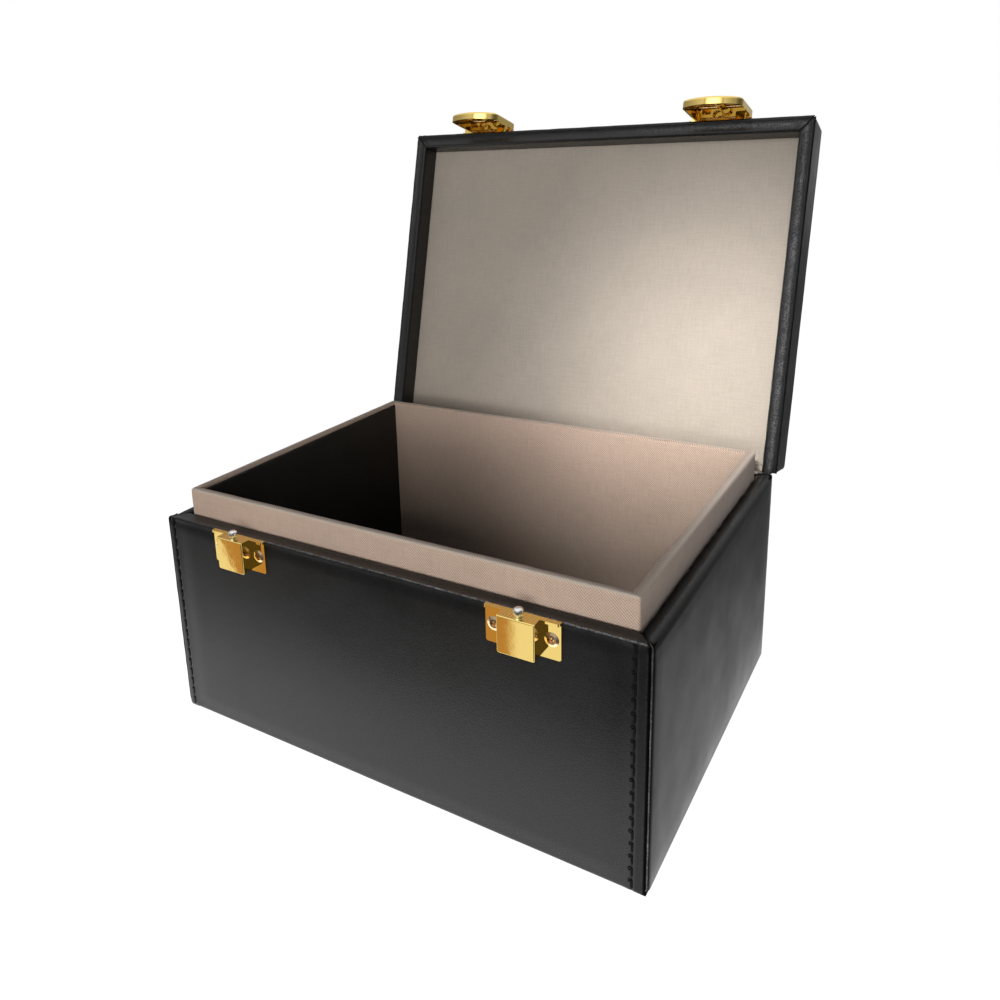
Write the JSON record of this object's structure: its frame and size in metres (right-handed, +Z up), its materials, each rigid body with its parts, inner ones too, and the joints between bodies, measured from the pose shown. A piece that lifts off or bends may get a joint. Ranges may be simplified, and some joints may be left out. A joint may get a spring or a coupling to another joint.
{
  "type": "hinged signal-shielding key box",
  "caption": "Leatherette-covered key box with a cloth-lined inner wall, a padded hinged lid and sprung snap catches, lid held open.",
  "frame": {"origin": "centre of the underside", "axes": "+Z up, +X to the right seen from the front, +Y to the back, where the lid hinges"},
  "size_m": [0.2206, 0.2411, 0.2668],
  "materials": {
    "leatherette_black": "fine pebbled grain, semi-matt",
    "underside_black": "matt textured paper",
    "lining_black": "smooth, satin",
    "shield_cloth": "linen-look metallised weave",
    "greyboard": "matt",
    "fibreboard": "matt fibreboard",
    "padding": "open foam",
    "polished_gold": "mirror-polished gold plate",
    "bright_nickel": "bright nickel",
    "plated_screw": "plated, bright",
    "spring_steel": "plated spring steel"
  },
  "bodies": {
    "box": {"bottom_board": "fibreboard", "floor_board": "greyboard", "floor_lining": "lining_black", "front_board": "fibreboard", "front_lining_panel": "lining_black", "front_skin": "leatherette_black", "hinge_strip_box_leaf": "leatherette_black", "inner_hinge_box_leaf": "shield_cloth", "keeper_screws": "plated_screw", "left_board": "fibreboard", "left_keeper": "polished_gold", "left_keeper_stud": "bright_nickel", "left_lining_panel": "lining_black", "left_skin": "leatherette_black", "liner_front_board": "greyboard", "liner_front_cloth": "shield_cloth", "liner_left_board": "greyboard", "liner_left_cloth": "shield_cloth", "liner_rear_board": "greyboard", "liner_rear_cloth": "shield_cloth", "liner_right_board": "greyboard", "liner_right_cloth": "shield_cloth", "rear_board": "fibreboard", "rear_skin": "leatherette_black", "right_board": "fibreboard", "right_keeper": "polished_gold", "right_keeper_stud": "bright_nickel", "right_lining_panel": "lining_black", "right_skin": "leatherette_black", "underside_cover": "underside_black"},
    "lid": {"lid_foam": "padding", "lid_front_rail": "fibreboard", "lid_front_skin": "leatherette_black", "lid_left_rail": "fibreboard", "lid_left_skin": "leatherette_black", "lid_panel_board": "greyboard", "lid_panel_cloth": "shield_cloth", "lid_rear_rail": "fibreboard", "lid_rear_skin": "leatherette_black", "lid_right_rail": "fibreboard", "lid_right_skin": "leatherette_black", "lid_top_board": "fibreboard", "lid_top_skin": "leatherette_black", "hinge_strip_lid_leaf": "leatherette_black", "inner_hinge_lid_leaf": "shield_cloth", "catch_screws": "plated_screw", "clip_rivets": "plated_screw", "left_catch_base": "polished_gold", "left_snap_clip": "spring_steel", "left_catch_pin": "plated_screw", "left_catch_spring": "spring_steel", "right_catch_base": "polished_gold", "right_snap_clip": "spring_steel", "right_catch_pin": "plated_screw", "right_catch_spring": "spring_steel"},
    "left_flap": {"left_catch_flap": "polished_gold"},
    "right_flap": {"right_catch_flap": "polished_gold"}
  },
  "joints": [
    {"name": "lid_hinge", "type": "hinge", "parent": "box", "child": "lid", "pos_m": [0, 0.08465, 0.0925], "axis": [1, 0, 0], "range_deg": [0, 104.2]},
    {"name": "left_catch", "type": "hinge", "parent": "lid", "child": "left_flap", "pos_m": [-0.0662, 0.13751, 0.25696], "axis": [-1, 0, 0], "range_deg": [0, 60], "stiffness_Nm_per_rad": 0.01, "springref_deg": -28.65},
    {"name": "right_catch", "type": "hinge", "parent": "lid", "child": "right_flap", "pos_m": [0.0652, 0.13751, 0.25696], "axis": [-1, 0, 0], "range_deg": [0, 60], "stiffness_Nm_per_rad": 0.01, "springref_deg": -28.65}
  ]
}
